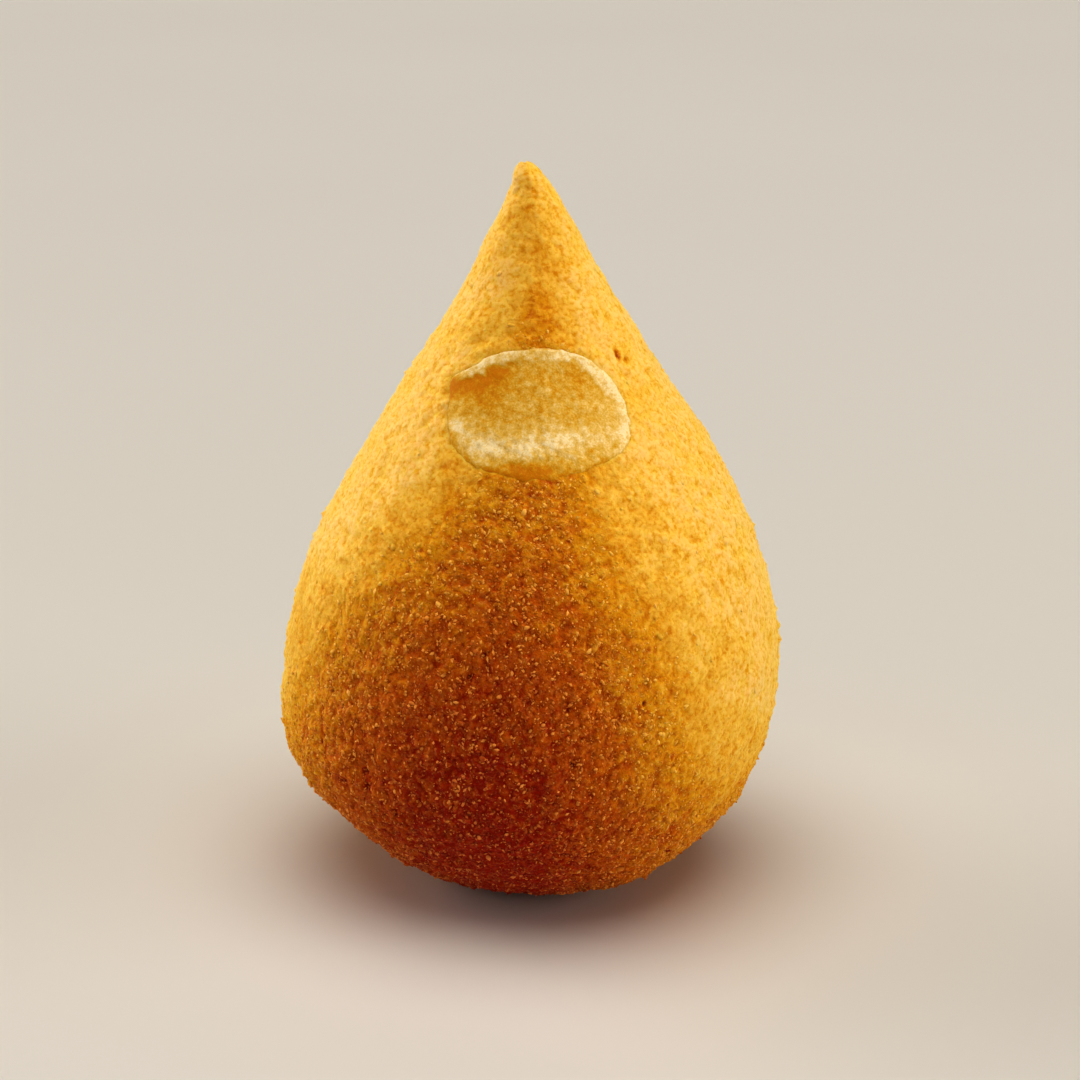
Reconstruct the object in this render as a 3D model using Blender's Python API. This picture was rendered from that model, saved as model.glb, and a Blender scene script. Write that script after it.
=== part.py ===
"""A coxinha: a teardrop of fried dough in a breadcrumb crust, with a thin oval wafer label on its front.

Metres, +Z up. The origin is on the floor under the middle of the belly, and the label faces -Y.
The crust is one solid. Its outline is turned from a round bottom, a shoulder arc, a straight cone
and a round tip, and is then given the lean, the hand presses and the crumb relief of the real one.
"""

import math

import bmesh
import bpy
import numpy as np
from mathutils import Vector, geometry, noise

# Outline of the body
BELLY_RADIUS = 0.0296
BELLY_DROP = 0.0239  # depth of the round bottom below the widest level, before the floor flattens it
REST_RADIUS = 0.009  # the small flat spot that it stands on
SHOULDER_RADIUS = 0.0537  # the arc that carries the belly up into the cone
CONE_HALF_ANGLE = math.radians(30.65)
TIP_RADIUS = 0.00135
NECK_NARROWING = 0.082  # share of the radius that pinching the cone took off
NECK_HEIGHT = 0.074
NECK_REACH = 0.0120

# Side lean of the centre line, along X
TIP_LEAN = -0.0012
TIP_LEAN_REACH = 0.0030
BELLY_LEAN = -0.0012
BELLY_LEAN_HEIGHT = 0.0160
BELLY_LEAN_REACH = 0.0095

# Marks that shaping by hand left: turn from +X in degrees, height, reach and depth (minus is a bulge)
HAND_PRESSES = (
    (205.0, 0.0075, 0.0090, 0.00055),
    (300.0, 0.0040, 0.0090, -0.00045),
    (62.0, 0.0300, 0.0160, 0.00050),
    (118.0, 0.0120, 0.0130, -0.00035),
    (100.0, 0.0560, 0.0120, 0.00040),
    (11.0, 0.0520, 0.0080, -0.00035),
    (11.0, 0.0665, 0.0065, -0.00020),
    (180.0, 0.0485, 0.0065, 0.00045),
    (3.0, 0.0175, 0.0080, -0.00035),
    (181.0, 0.0165, 0.0080, -0.00035),
    (178.0, 0.0335, 0.0090, -0.00050),
)

# Relief of the crust: size of the bumps and how far they stand up or down
LUMP_SIZE = 0.0110
LUMP_DEPTH = 0.00020
CRUMB_SIZE = 0.0016
CRUMB_DEPTH = 0.00042
FINE_CRUMB_SIZE = 0.00085
FINE_CRUMB_DEPTH = 0.00025

# Wafer label
LABEL_WIDTH = 0.0220  # round the cone, of the plain oval that its edge starts from
LABEL_LENGTH = 0.01525  # down its slope
# Where its edge bulges out of the oval, or is drawn in (minus): direction and reach in degrees, and how far
LABEL_BULGES = (
    (25.0, 21.0, -0.00065),
    (143.0, 8.0, -0.00040),
    (164.0, 8.0, 0.00080),
    (209.0, 21.0, 0.00080),
    (337.0, 17.0, 0.00130),
)
LABEL_TURN = math.radians(-89.7)
LABEL_HEIGHT = 0.0604
LABEL_THICKNESS = 0.00045
LABEL_GAP = 0.0003  # between the label and the crust under it
LABEL_WAVE_SIZE = 0.0045
LABEL_WAVE_DEPTH = 0.00012
LABEL_EDGE_LIFT = 0.00015
LABEL_EDGE_START = 0.75  # share of the way out where the edge starts to lift
LABEL_BED_DEPTH = 0.00030  # how far the crust gives way under the label
LABEL_BED_MARGIN = 0.0010

# Fineness of the meshes
OUTLINE_STEPS = 240
SLOPE_STEP = 0.0004  # half the stretch of outline that a slope is read over
REST_POINTS = 36
FIRST_ROW = 0.0012  # run from the rim of the rest spot to the first points above it
CRUST_POINTS = 5300
TIP_FINENESS = 9.0
TIP_FINE_REACH = 0.0040
LABEL_SECTORS = 66
LABEL_RINGS = 7
SMALLEST_RADIUS = 0.00004  # where the flat map stops closing in on the tip
MERGE_DISTANCE = 1e-9  # on the flat map, whose tip points lie very close

GOLDEN_ANGLE = math.pi * (3.0 - math.sqrt(5.0))


def turned_outline():
    """Radius and height of the outline, from the rim of the rest spot up to the tip."""
    belly_height = BELLY_DROP * math.sqrt(1.0 - (REST_RADIUS / BELLY_RADIUS) ** 2)
    rest_angle = math.acos(REST_RADIUS / BELLY_RADIUS)
    bottom = np.linspace(-rest_angle, 0.0, OUTLINE_STEPS)
    shoulder = np.linspace(0.0, CONE_HALF_ANGLE, OUTLINE_STEPS)
    cap = np.linspace(CONE_HALF_ANGLE, math.pi / 2.0, OUTLINE_STEPS)
    cone_radius = BELLY_RADIUS - SHOULDER_RADIUS * (1.0 - math.cos(CONE_HALF_ANGLE))
    cone_height = belly_height + SHOULDER_RADIUS * math.sin(CONE_HALF_ANGLE)
    apex = cone_height + cone_radius / math.tan(CONE_HALF_ANGLE)
    cap_height = apex - TIP_RADIUS / math.sin(CONE_HALF_ANGLE)
    tip_start = cap_height + TIP_RADIUS * math.sin(CONE_HALF_ANGLE)
    cone = np.linspace(cone_height, tip_start, OUTLINE_STEPS)
    radius = np.concatenate([
        BELLY_RADIUS * np.cos(bottom),
        BELLY_RADIUS - SHOULDER_RADIUS * (1.0 - np.cos(shoulder[1:])),
        (apex - cone[1:]) * math.tan(CONE_HALF_ANGLE),
        TIP_RADIUS * np.cos(cap[1:]),
    ])
    height = np.concatenate([
        belly_height + BELLY_DROP * np.sin(bottom),
        belly_height + SHOULDER_RADIUS * np.sin(shoulder[1:]),
        cone[1:],
        cap_height + TIP_RADIUS * np.sin(cap[1:]),
    ])
    radius *= 1.0 - NECK_NARROWING * np.exp(-(((height - NECK_HEIGHT) / NECK_REACH) ** 2))
    return radius, height


RADIUS, HEIGHT = turned_outline()
RUN = np.concatenate([[0.0], np.cumsum(np.hypot(np.diff(RADIUS), np.diff(HEIGHT)))])
TIP_HEIGHT = HEIGHT[-1]


def centre_line(height):
    """Sideways place of the body's middle at a height."""
    tip = TIP_LEAN * math.exp(-(TIP_HEIGHT - height) / TIP_LEAN_REACH)
    belly = BELLY_LEAN * math.exp(-(((height - BELLY_LEAN_HEIGHT) / BELLY_LEAN_REACH) ** 2))
    return tip + belly


def on_outline(turn, run):
    """The smooth body's point and outward normal at a turn from +X and a run up the outline."""
    radius = np.interp(run, RUN, RADIUS)
    height = np.interp(run, RUN, HEIGHT)
    rise = np.interp(run + SLOPE_STEP, RUN, HEIGHT) - np.interp(run - SLOPE_STEP, RUN, HEIGHT)
    widening = np.interp(run + SLOPE_STEP, RUN, RADIUS) - np.interp(run - SLOPE_STEP, RUN, RADIUS)
    normal = Vector((math.cos(turn) * rise, math.sin(turn) * rise, -widening)).normalized()
    point = Vector((math.cos(turn) * radius + centre_line(height), math.sin(turn) * radius, height))
    return point, normal


def label_edge(direction):
    """Distance from the label's middle to its edge, in a direction on the label."""
    across = math.cos(direction) / (LABEL_WIDTH / 2.0)
    along = math.sin(direction) / (LABEL_LENGTH / 2.0)
    edge = 1.0 / math.hypot(across, along)
    for middle, reach, out in LABEL_BULGES:
        off = (math.degrees(direction) - middle + 180.0) % 360.0 - 180.0
        edge += out * math.exp(-((off / reach) ** 2))
    return edge


def label_place(turn, run):
    """Place of a body point on the label's own flat plan: across it and up its slope."""
    middle_run = np.interp(LABEL_HEIGHT, HEIGHT, RUN)
    radius = np.interp(run, RUN, RADIUS)
    off = (turn - LABEL_TURN + math.pi) % (2.0 * math.pi) - math.pi
    return off * radius, run - middle_run


def under_label(turn, run):
    """1 under the label, 0 away from it, and a smooth ramp over its margin."""
    across, along = label_place(turn, run)
    beyond = math.hypot(across, along) - label_edge(math.atan2(along, across))
    ramp = min(max(2.0 - beyond / LABEL_BED_MARGIN, 0.0), 1.0)
    return ramp * ramp * (3.0 - 2.0 * ramp)


def crust_relief(point, turn, run):
    """How far the crust stands out from the smooth body at a point."""
    out = LUMP_DEPTH * noise.noise(point / LUMP_SIZE)
    for press_turn, press_height, reach, depth in HAND_PRESSES:
        radius = np.interp(press_height, HEIGHT, RADIUS)
        angle = math.radians(press_turn)
        pressed = Vector((math.cos(angle) * radius, math.sin(angle) * radius, press_height))
        out -= depth * math.exp(-((point - pressed).length / reach) ** 2)
    bed = under_label(turn, run)
    crumbs = CRUMB_DEPTH * noise.noise(point / CRUMB_SIZE)
    crumbs += FINE_CRUMB_DEPTH * noise.noise(point / FINE_CRUMB_SIZE)
    return out + crumbs * (1.0 - bed) - LABEL_BED_DEPTH * bed


def crust_places():
    """Turn and run of each crust point: the rim of the rest spot, then an even golden-angle spiral."""
    places = [(2.0 * math.pi * i / REST_POINTS, 0.0) for i in range(REST_POINTS)]
    fineness = 1.0 + TIP_FINENESS * np.exp(-(TIP_HEIGHT - HEIGHT) / TIP_FINE_REACH)
    crowd = RADIUS * fineness
    count = np.concatenate([[0.0], np.cumsum((crowd[1:] + crowd[:-1]) / 2.0 * np.diff(RUN))])
    first = np.interp(FIRST_ROW, RUN, count)
    for i in range(CRUST_POINTS):
        share = (i + 0.5) / CRUST_POINTS
        run = np.interp(first + (count[-1] - first) * share, count, RUN)
        places.append((i * GOLDEN_ANGLE, run))
    return places


def flat_map(places):
    """The points laid out on a plane that keeps angles: the rest spot's rim is outside, the tip inside."""
    radius = np.maximum(RADIUS, SMALLEST_RADIUS)
    closing_in = np.concatenate([[0.0], np.cumsum(np.diff(RUN) * 2.0 / (radius[1:] + radius[:-1]))])
    flat = []
    for turn, run in places:
        reach = math.exp(-np.interp(run, RUN, closing_in))
        flat.append(Vector((reach * math.cos(turn), reach * math.sin(turn))))
    return flat


def crust_triangles(places):
    """Even triangles over the points, found on the flat map."""
    found = geometry.delaunay_2d_cdt(flat_map(places), [], [], 0, MERGE_DISTANCE)
    faces, from_points = found[2], found[3]
    return [[from_points[corner][0] for corner in face] for face in faces]


def crust_point(turn, run):
    """A point of the finished crust, no lower than the rest spot."""
    smooth, normal = on_outline(turn, run)
    point = smooth + normal * crust_relief(smooth, turn, run)
    point.z = max(point.z, 0.0) if run > 0.0 else 0.0
    return point


def finish(name, mesh_data, material):
    """An object of a bmesh, shaded smooth with its outward normals made consistent."""
    bmesh.ops.recalc_face_normals(mesh_data, faces=mesh_data.faces[:])
    mesh = bpy.data.meshes.new(name)
    mesh_data.to_mesh(mesh)
    mesh_data.free()
    mesh.shade_smooth()
    mesh.materials.append(material)
    piece = bpy.data.objects.new(name, mesh)
    bpy.context.scene.collection.objects.link(piece)
    return piece


def plain_material(name, colour, roughness):
    """A Principled material of one colour."""
    material = bpy.data.materials.new(name)
    material.use_nodes = True
    shader = material.node_tree.nodes["Principled BSDF"]
    shader.inputs["Base Color"].default_value = (*colour, 1.0)
    shader.inputs["Roughness"].default_value = roughness
    shader.inputs["Metallic"].default_value = 0.0
    material.diffuse_color = (*colour, 1.0)
    return material


def make_crust():
    """The fried body: its side is the spiral of points, and the rest spot is one flat face."""
    places = crust_places()
    body = bmesh.new()
    corners = [body.verts.new(crust_point(turn, run)) for turn, run in places]
    for triangle in crust_triangles(places):
        body.faces.new([corners[i] for i in triangle])
    body.faces.new(corners[:REST_POINTS])
    golden_crumb = plain_material("golden_breadcrumb", (0.68, 0.29, 0.03), 0.62)
    return finish("breadcrumb_crust", body, golden_crumb)


def label_lift(across, along):
    """Height of the label's underside over the smooth body: a soft wave, and an edge that lifts."""
    wave = LABEL_WAVE_DEPTH * (1.0 + noise.noise(Vector((across, along, 0.0)) / LABEL_WAVE_SIZE))
    way_out = math.hypot(across, along) / label_edge(math.atan2(along, across))
    lift = LABEL_EDGE_LIFT * max(way_out - LABEL_EDGE_START, 0.0) / (1.0 - LABEL_EDGE_START)
    return LABEL_GAP - LABEL_BED_DEPTH + wave + lift


def label_point(across, along, above):
    """A point of the label, wrapped on the cone, at a height over its underside."""
    run = np.interp(LABEL_HEIGHT, HEIGHT, RUN) + along
    turn = LABEL_TURN + across / np.interp(run, RUN, RADIUS)
    smooth, normal = on_outline(turn, run)
    lumps = crust_relief(smooth, turn, run) + LABEL_BED_DEPTH * under_label(turn, run)
    return smooth + normal * (lumps + label_lift(across, along) + above)


def label_face(label, above):
    """One face of the label: a fan round its middle and rings out to its edge."""
    rings = [[label.verts.new(label_point(0.0, 0.0, above))]]
    for ring in range(1, LABEL_RINGS + 1):
        corners = []
        for sector in range(LABEL_SECTORS):
            direction = 2.0 * math.pi * sector / LABEL_SECTORS
            reach = label_edge(direction) * ring / LABEL_RINGS
            across, along = reach * math.cos(direction), reach * math.sin(direction)
            corners.append(label.verts.new(label_point(across, along, above)))
        rings.append(corners)
    middle = rings[0][0]
    for i in range(LABEL_SECTORS):
        j = (i + 1) % LABEL_SECTORS
        label.faces.new((middle, rings[1][i], rings[1][j]))
        for inner, outer in zip(rings[1:], rings[2:]):
            label.faces.new((inner[i], outer[i], outer[j]))
            label.faces.new((inner[i], outer[j], inner[j]))
    return rings[-1]


def make_label():
    """The edible wafer label: a thin wavy oval with both faces split into triangles alike."""
    label = bmesh.new()
    under = label_face(label, 0.0)
    over = label_face(label, LABEL_THICKNESS)
    for i in range(LABEL_SECTORS):
        j = (i + 1) % LABEL_SECTORS
        label.faces.new((under[i], under[j], over[j], over[i]))
    pale_wafer = plain_material("pale_wafer", (0.80, 0.50, 0.14), 0.50)
    return finish("wafer_label", label, pale_wafer)


def centre_on_origin(pieces):
    """Moves the pieces so that the body's box stands centred on the origin."""
    body = pieces[0].data
    places = np.array([corner.co for corner in body.vertices])
    middle = (places.min(axis=0) + places.max(axis=0)) / 2.0
    for piece in pieces:
        for corner in piece.data.vertices:
            corner.co.x -= middle[0]
            corner.co.y -= middle[1]


for old in list(bpy.data.objects):
    bpy.data.objects.remove(old, do_unlink=True)

centre_on_origin([make_crust(), make_label()])
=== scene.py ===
import math
from collections import namedtuple

import bmesh
import bpy
import numpy as np
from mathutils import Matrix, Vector, noise
from mathutils.bvhtree import BVHTree


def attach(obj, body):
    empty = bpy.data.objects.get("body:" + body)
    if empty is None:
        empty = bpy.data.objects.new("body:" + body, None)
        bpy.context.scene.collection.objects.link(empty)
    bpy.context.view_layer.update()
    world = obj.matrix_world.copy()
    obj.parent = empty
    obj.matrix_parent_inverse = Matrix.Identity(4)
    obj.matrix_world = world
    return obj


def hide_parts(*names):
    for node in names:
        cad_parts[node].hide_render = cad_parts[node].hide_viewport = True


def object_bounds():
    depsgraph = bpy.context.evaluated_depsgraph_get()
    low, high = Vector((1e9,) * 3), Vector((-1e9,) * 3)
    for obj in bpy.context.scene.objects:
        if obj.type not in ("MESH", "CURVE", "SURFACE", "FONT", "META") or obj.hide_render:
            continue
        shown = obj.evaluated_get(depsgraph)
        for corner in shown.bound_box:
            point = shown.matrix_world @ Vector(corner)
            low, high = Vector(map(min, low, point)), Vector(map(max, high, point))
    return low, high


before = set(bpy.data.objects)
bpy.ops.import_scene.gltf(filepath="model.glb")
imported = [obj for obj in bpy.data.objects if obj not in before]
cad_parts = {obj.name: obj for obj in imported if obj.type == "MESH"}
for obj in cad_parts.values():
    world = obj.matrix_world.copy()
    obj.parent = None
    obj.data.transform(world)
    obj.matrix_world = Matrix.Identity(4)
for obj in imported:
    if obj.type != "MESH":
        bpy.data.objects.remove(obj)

cad_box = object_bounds()


# The fried body: wheat dough shaped by hand round its filling, rolled in fine breadcrumbs and deep-fried.
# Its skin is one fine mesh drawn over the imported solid, with the bumps and pits of the crumb coat.
MM = 0.001
SAME_CORNER = 0.001 * MM  # corners of the solid that lie closer than this are one
SOLID_EVENING = 2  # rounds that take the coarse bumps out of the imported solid
SKIN_SPLITS = 2
SKIN_EVENING = 3
EVENING_PULL = 0.5
ON_FLOOR = 0.01 * MM


def joined_copy(node):
    """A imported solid's mesh as a bmesh, with the corners that its faces share joined."""
    shape = bmesh.new()
    shape.from_mesh(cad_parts[node].data)
    bmesh.ops.remove_doubles(shape, verts=shape.verts[:], dist=SAME_CORNER)
    return shape


def evened(points, edges, rounds):
    """The points drawn towards the middle of their neighbours, without leaving the floor."""
    on_floor = points[:, 2] < ON_FLOOR
    neighbours = np.bincount(edges.ravel(), minlength=len(points))[:, None]
    for _ in range(rounds):
        total = np.zeros_like(points)
        np.add.at(total, edges[:, 0], points[edges[:, 1]])
        np.add.at(total, edges[:, 1], points[edges[:, 0]])
        points = points + EVENING_PULL * (total / neighbours - points)
        points[on_floor, 2] = 0.0
    return points


def points_of(mesh):
    """All corner places of a mesh as an array."""
    points = np.empty(len(mesh.vertices) * 3)
    mesh.vertices.foreach_get("co", points)
    return points.reshape(-1, 3)


def edges_of(mesh):
    """The two corners of each edge of a mesh."""
    edges = np.empty(len(mesh.edges) * 2, np.int64)
    mesh.edges.foreach_get("vertices", edges)
    return edges.reshape(-1, 2)


def even_out(mesh, rounds):
    """Evens a mesh's own points."""
    mesh.vertices.foreach_set("co", evened(points_of(mesh), edges_of(mesh), rounds).ravel())
    mesh.update()


def body_skin():
    """The skin's mesh before its relief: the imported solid, evened and split fine."""
    shape = joined_copy("breadcrumb_crust")
    mesh = bpy.data.meshes.new("crumb_crust_skin")
    shape.to_mesh(mesh)
    even_out(mesh, SOLID_EVENING)
    shape.clear()
    shape.from_mesh(mesh)
    for _ in range(SKIN_SPLITS):
        bmesh.ops.subdivide_edges(shape, edges=shape.edges[:], cuts=1, use_grid_fill=True)
    shape.to_mesh(mesh)
    shape.free()
    even_out(mesh, SKIN_EVENING)
    return mesh


# The label's place on the cone and its outline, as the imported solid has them
LABEL_TURN = math.radians(-89.7)
LABEL_HEIGHT = 60.4 * MM
LABEL_SLOPE = math.radians(30.65)
LABEL_WIDTH, LABEL_LENGTH = 22.0 * MM, 15.25 * MM  # of the plain oval that its edge starts from
# Where its edge bulges out of the oval, or is drawn in (minus): direction and reach in degrees, and how far
LABEL_BULGES = (
    (25.0, 21.0, -0.65 * MM),
    (143.0, 8.0, -0.40 * MM),
    (164.0, 8.0, 0.80 * MM),
    (209.0, 21.0, 0.80 * MM),
    (337.0, 17.0, 1.30 * MM),
)
skin = body_skin()
skin_base = points_of(skin)
cone_middle = skin_base[abs(skin_base[:, 2] - LABEL_HEIGHT) < 1.0 * MM].mean(axis=0)


def label_edge(direction):
    """Distance from the label's middle to its edge, in a direction on the label's flat plan."""
    across = math.cos(direction) / (LABEL_WIDTH / 2.0)
    along = math.sin(direction) / (LABEL_LENGTH / 2.0)
    edge = 1.0 / math.hypot(across, along)
    for middle, reach, out in LABEL_BULGES:
        off = (math.degrees(direction) - middle + 180.0) % 360.0 - 180.0
        edge += out * math.exp(-((off / reach) ** 2))
    return edge


def on_label_plan(place):
    """A body place on the label's flat plan: how far across it and up its slope from its middle."""
    x, y = place[0] - cone_middle[0], place[1] - cone_middle[1]
    across = (math.atan2(y, x) - LABEL_TURN) * math.hypot(x, y)
    return across, (place[2] - LABEL_HEIGHT) / math.cos(LABEL_SLOPE)


def beyond_label(place):
    """How far a place of the body lies outside the label's edge, or minus how far inside."""
    if place[1] > 0.0 or abs(place[2] - LABEL_HEIGHT) > LABEL_LENGTH:
        return LABEL_WIDTH
    across, along = on_label_plan(place)
    return math.hypot(across, along) - label_edge(math.atan2(along, across))


# The bend of the tip to the left: how far, from what height, over what height, and how far past that
TIP_BEND, TIP_BEND_FROM, TIP_BEND_REACH, TIP_BEND_MOST = 1.0 * MM, 78.0 * MM, 7.0 * MM, 1.2
# How brown the coat is, painted shade included: browner at the foot all round, partly real browning and
# partly painted shade of the underside, and browner in a streak up the front, which is painted shade where
# the lights fall least. At each top half of that browning is left, and a fade is how fast it goes there.
CONE_FROM, CONE_FADE = 49.0 * MM, 4.0 * MM
SHADE_SIDE = math.radians(-101.0)
SHADE_WIDTH_LEFT, SHADE_WIDTH_RIGHT = math.radians(41.0), math.radians(35.5)
SHADE_WIDTH_CONE = math.radians(17.0)
# How steeply it ends to the right and left, and how much more steeply on the cone's left
RIGHT_EDGE, LEFT_EDGE, LEFT_EDGE_CONE = 2.0, 1.7, 0.3
# The foot all round: partly real browning, partly painted shade of the underside
FOOT_BROWN_AND_SHADE, FOOT_BROWN_AND_SHADE_TOP, FOOT_BROWN_AND_SHADE_FADE = 0.40, 13.0 * MM, 5.0 * MM
# Painted shade of the front, given as browning, strongest low down
FRONT_SHADE_BROWN, FRONT_SHADE_TOP, FRONT_SHADE_FADE = 0.95, 33.0 * MM, 9.0 * MM
RIGHT_MILDER, RIGHT_HIGHER = 0.22, 4.0 * MM  # how much milder, and higher up, the painted shade of the front is to the right
# Painted shade of the front carried up the cone
CONE_SHADE_BROWN, CONE_SHADE_TOP, CONE_SHADE_FADE = 0.17, 72.0 * MM, 3.0 * MM
CONE_FRONT_SHADE, CONE_FRONT_SHADE_WIDTH = 0.06, math.radians(42.0)  # faint painted shade, as browning, over the front of the cone


def middle_across(up):
    """Where the body's middle lies across at a height: straight up the cone, then bent over in the tip."""
    return cone_middle[0] - TIP_BEND * np.clip((up - TIP_BEND_FROM) / TIP_BEND_REACH, 0.0, TIP_BEND_MOST) ** 2


def faded(brown_and_shade, up, top, fade):
    """A browning at a height: all of it well below its top, half of it there, and none well above."""
    return brown_and_shade / (1.0 + np.exp((up - top) / fade))


def browned_and_shaded(places):
    """How brown the coat is at each place, from 0 to 1, with the painted shade of the front and the foot in
    it.
    """
    up = places[:, 2]
    on_cone = 1.0 / (1.0 + np.exp((CONE_FROM - up) / CONE_FADE))
    turn = np.arctan2(places[:, 1] - cone_middle[1], places[:, 0] - middle_across(up))
    middle = SHADE_SIDE + (LABEL_TURN - SHADE_SIDE) * on_cone
    off = (turn - middle + math.pi) % (2.0 * math.pi) - math.pi
    width = np.where(off < 0.0, SHADE_WIDTH_LEFT, SHADE_WIDTH_RIGHT)
    width = width + (SHADE_WIDTH_CONE - width) * on_cone
    # the foot's browning all round: partly real browning, partly painted shade of the underside
    side = faded(FOOT_BROWN_AND_SHADE, up, FOOT_BROWN_AND_SHADE_TOP, FOOT_BROWN_AND_SHADE_FADE)
    to_right = np.clip(off / SHADE_WIDTH_RIGHT, 0.0, 1.0)
    front_shade_top = FRONT_SHADE_TOP + RIGHT_HIGHER * to_right
    # painted shade of the front, where the lights fall least, given as browning
    front_shade = faded(FRONT_SHADE_BROWN * (1.0 - RIGHT_MILDER * to_right), up, front_shade_top, FRONT_SHADE_FADE)
    front_shade = front_shade + faded(CONE_SHADE_BROWN, up, CONE_SHADE_TOP, CONE_SHADE_FADE)
    # painted shade: faint browning over the front of the cone
    cone_shade = CONE_FRONT_SHADE * on_cone * np.exp(-((off / CONE_FRONT_SHADE_WIDTH) ** 2))
    edge = np.where(off < 0.0, LEFT_EDGE + LEFT_EDGE_CONE * on_cone, RIGHT_EDGE)
    return side + cone_shade + (front_shade - side) * np.exp(-(np.abs(off / width) ** edge))


# The crumb coat's relief: soft swells, two sizes of grain, lumps of crumbs, and pits where steam burst out
BEND_SEED = 5
noise.seed_set(BEND_SEED)  # so that the bends in the grain fall alike in each run
SWELL_SIZE, SWELL_DEPTH = 2.6 * MM, 0.26 * MM
GRAIN_SIZE, GRAIN_DEPTH = 0.95 * MM, 0.42 * MM
FINE_GRAIN_SIZE, FINE_GRAIN_DEPTH = 0.60 * MM, 0.20 * MM
GRAIN_BEND, GRAIN_MIDDLE = 0.25, 0.45  # how crooked the grains are, and where they are neither top nor gap
SPOT_BEND = 0.12
SPOT_DRAW = 7.31  # spreads the middles of the spots over the cells of a noise, which give each its draw
SPOT_RADIUS, SPOT_WIDER = 0.6, 0.7  # of its full radius at a draw of 0, and how much wider at the limit
PIT_SPACING, PIT_LIMIT = 3.2 * MM, 0.62  # there is a pit where the draw, from -1 to 1, is below its limit
PIT_RADIUS, PIT_DEPTH = 0.50 * MM, 0.55 * MM
PIT_BROWNING = (0.1, 0.3)  # the pits come in with this browning
PITS_END = (52.0 * MM, 62.0 * MM)
LUMP_SPACING, LUMP_LIMIT = 2.4 * MM, 0.6
LUMP_RADIUS, LUMP_HEIGHT = 0.48 * MM, 0.46 * MM
LUMPS_END = (62.0 * MM, 78.0 * MM)
ROUGH_LEAST, ROUGH_BROWN, ROUGH_BROWNING = 0.85, 0.5, (0.05, 0.4)  # the browner coat is the rougher one
SMOOTHER_TOP, SMOOTHER_RISE = 0.4, (60.0 * MM, 78.0 * MM)
SMOOTH_FOOT = 1.5 * MM
BED_DEPTH = 0.30 * MM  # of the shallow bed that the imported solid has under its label
BED_INSIDE, BED_OUTSIDE = (-1.0 * MM, -0.1 * MM), (1.0 * MM, 2.0 * MM)
COAT_FROM_LABEL = (-0.8 * MM, 0.0)
TIP_RISE, TIP_SIDES = (70.0 * MM, 82.0 * MM), 0.3
TIP_FILL, TIP_LEAN = 0.30 * MM, 0.10 * MM  # what the evening takes off the tip, and how far it draws it over
DARK_PIT_DEPTH = 0.42 * MM  # of a pit whose bottom is darkened in full, partly browning and partly painted shade
GAP_DEPTH = 0.18 * MM
GAP_SHADE, GAP_SHADE_LEAST, GAP_BROWNING = 0.30, 0.4, (0.1, 0.4)  # how much painted shade a gap gets, least where it is pale
TIP_CREST = 0.85  # how much less of the painted highlight the crumb tops get in the tip

# Larger pits and browned spots of this one: turn from +X in degrees, height, width, tallness, depth,
# and how brown
MARKS = (
    (-40.7, 65.6 * MM, 0.28 * MM, 0.55 * MM, 0.40 * MM, 0.95),
    (-36.0, 65.0 * MM, 0.42 * MM, 0.35 * MM, 0.15 * MM, 0.45),
    (-138.2, 18.8 * MM, 0.75 * MM, 0.45 * MM, 0.55 * MM, 1.0),
    (-130.2, 19.1 * MM, 0.60 * MM, 0.42 * MM, 0.50 * MM, 1.0),
    (-102.1, 36.7 * MM, 0.32 * MM, 0.36 * MM, 0.40 * MM, 0.8),
    (-115.2, 45.2 * MM, 0.75 * MM, 0.30 * MM, 0.25 * MM, 0.5),
    (-100.4, 35.2 * MM, 0.40 * MM, 0.30 * MM, 0.30 * MM, 0.6),
    (-10.5, 47.8 * MM, 0.60 * MM, 0.40 * MM, 0.10 * MM, 0.25),
    (-31.0, 44.9 * MM, 0.45 * MM, 0.55 * MM, 0.12 * MM, 0.30),
    (-27.0, 43.4 * MM, 0.50 * MM, 0.40 * MM, 0.12 * MM, 0.30),
    (-90.0, 83.0 * MM, 0.90 * MM, 2.00 * MM, 0.0, 0.03),
    (-102.0, 81.0 * MM, 0.35 * MM, 0.35 * MM, 0.04 * MM, 0.25),
)
MARK_END = 3.0  # widths from its middle, past which a mark is nothing
# The pinch mark in the tip
NOTCH_ACROSS, NOTCH_WIDTH, NOTCH_DEPTH, NOTCH_REACH = -0.45 * MM, 0.15 * MM, 0.22 * MM, 0.4 * MM


def ramp(value, low, high):
    """0 below low, 1 above high, and a smooth climb between."""
    share = min(max((value - low) / (high - low), 0.0), 1.0)
    return share * share * (3.0 - 2.0 * share)


def spots(place, spacing, limit, radius):
    """How much of a round spot is at a place, from 0 to 1, with the spots about a spacing apart."""
    bend = Vector(noise.noise_vector(place / radius)) * SPOT_BEND
    distances, centres = noise.voronoi(place / spacing + bend)
    draw = noise.cell(centres[0] * SPOT_DRAW)
    if draw > limit:
        return 0.0
    reach = distances[0] * spacing / (radius * (SPOT_RADIUS + SPOT_WIDER * draw / limit))
    return max(1.0 - reach * reach, 0.0)


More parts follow.
